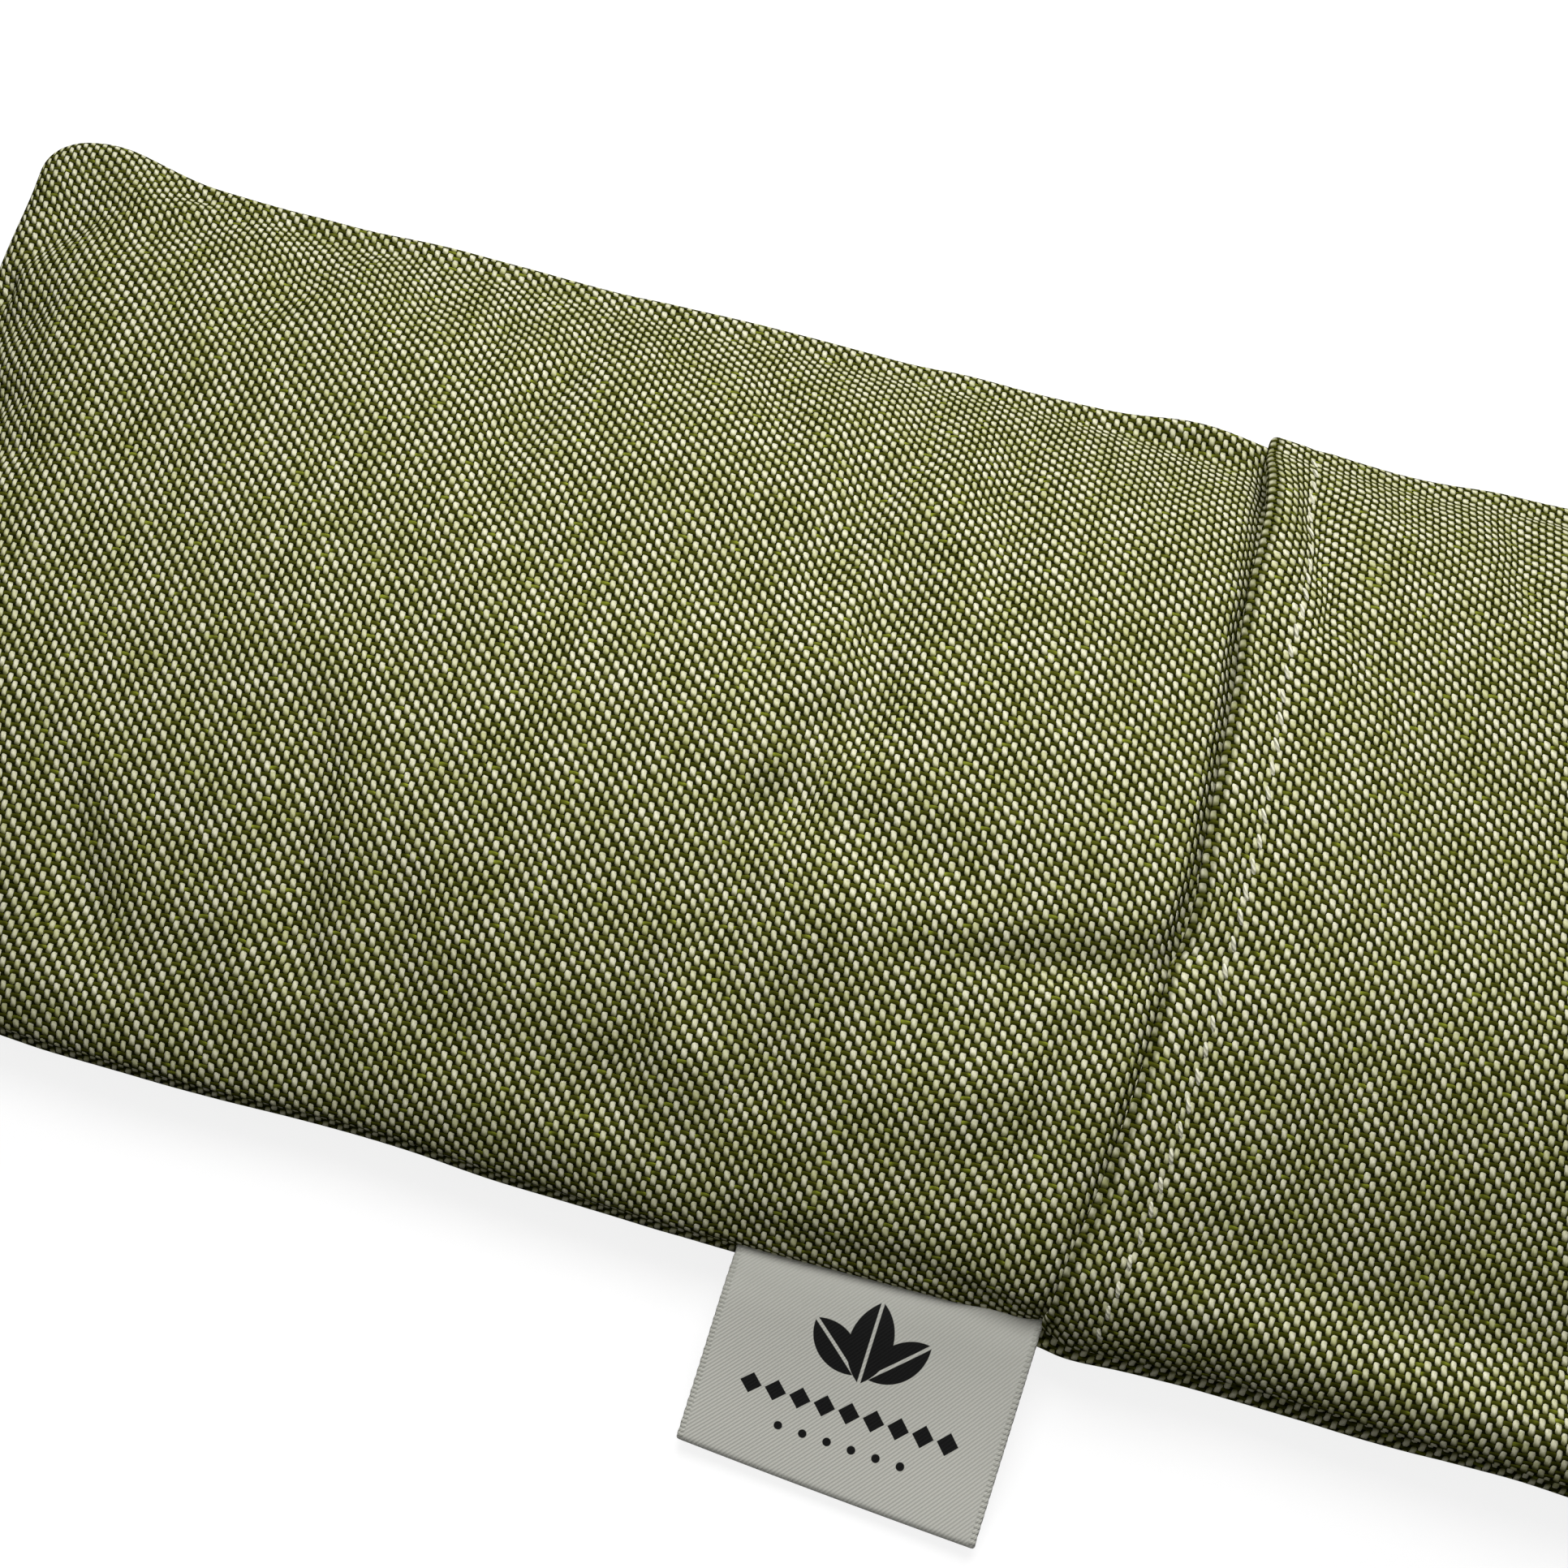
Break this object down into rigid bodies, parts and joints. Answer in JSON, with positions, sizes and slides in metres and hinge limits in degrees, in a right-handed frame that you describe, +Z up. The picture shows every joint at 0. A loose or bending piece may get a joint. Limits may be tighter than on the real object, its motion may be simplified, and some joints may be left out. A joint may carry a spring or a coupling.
{
  "type": "eye pillow",
  "caption": "Rectangular seed-filled eye pillow in a woven canvas envelope cover, with a stitched lap across the top and a folded ribbon label in the front seam.",
  "frame": {"origin": "middle of the flat underside, on the surface the pillow lies on", "axes": "+X along the pillow towards the flap's end, -Y to the front where the label hangs, +Z up"},
  "size_m": [0.2217, 0.1288, 0.0312],
  "materials": {
    "canvas": "matt two-tone plain weave, cream across and olive along",
    "cream_thread": "matt sewing thread",
    "cotton": "matt undyed cotton",
    "seed": "matt loose seed, as one body",
    "satin_ribbon": "satin woven ribbon"
  },
  "bodies": {
    "pillow": {"cover_underside": "canvas", "cover_left_top": "canvas", "cover_right_flap": "canvas", "flap_hem_stitching": "cream_thread", "underlap_hem_stitching": "cream_thread", "front_seam_thread": "cream_thread", "back_seam_thread": "cream_thread", "left_end_seam_thread": "cream_thread", "right_end_seam_thread": "cream_thread", "inner_bag_top": "cotton", "inner_bag_underside": "cotton", "inner_bag_seam_thread": "cotton", "inner_bag_closing_thread": "cotton", "seed_fill": "seed"},
    "label": {"label": "satin_ribbon"}
  },
  "joints": [
    {"name": "label_swing", "type": "hinge", "parent": "pillow", "child": "label", "pos_m": [0.018, -0.0526, 0.009], "axis": [-1, 0, 0], "range_deg": [0, 110]}
  ]
}
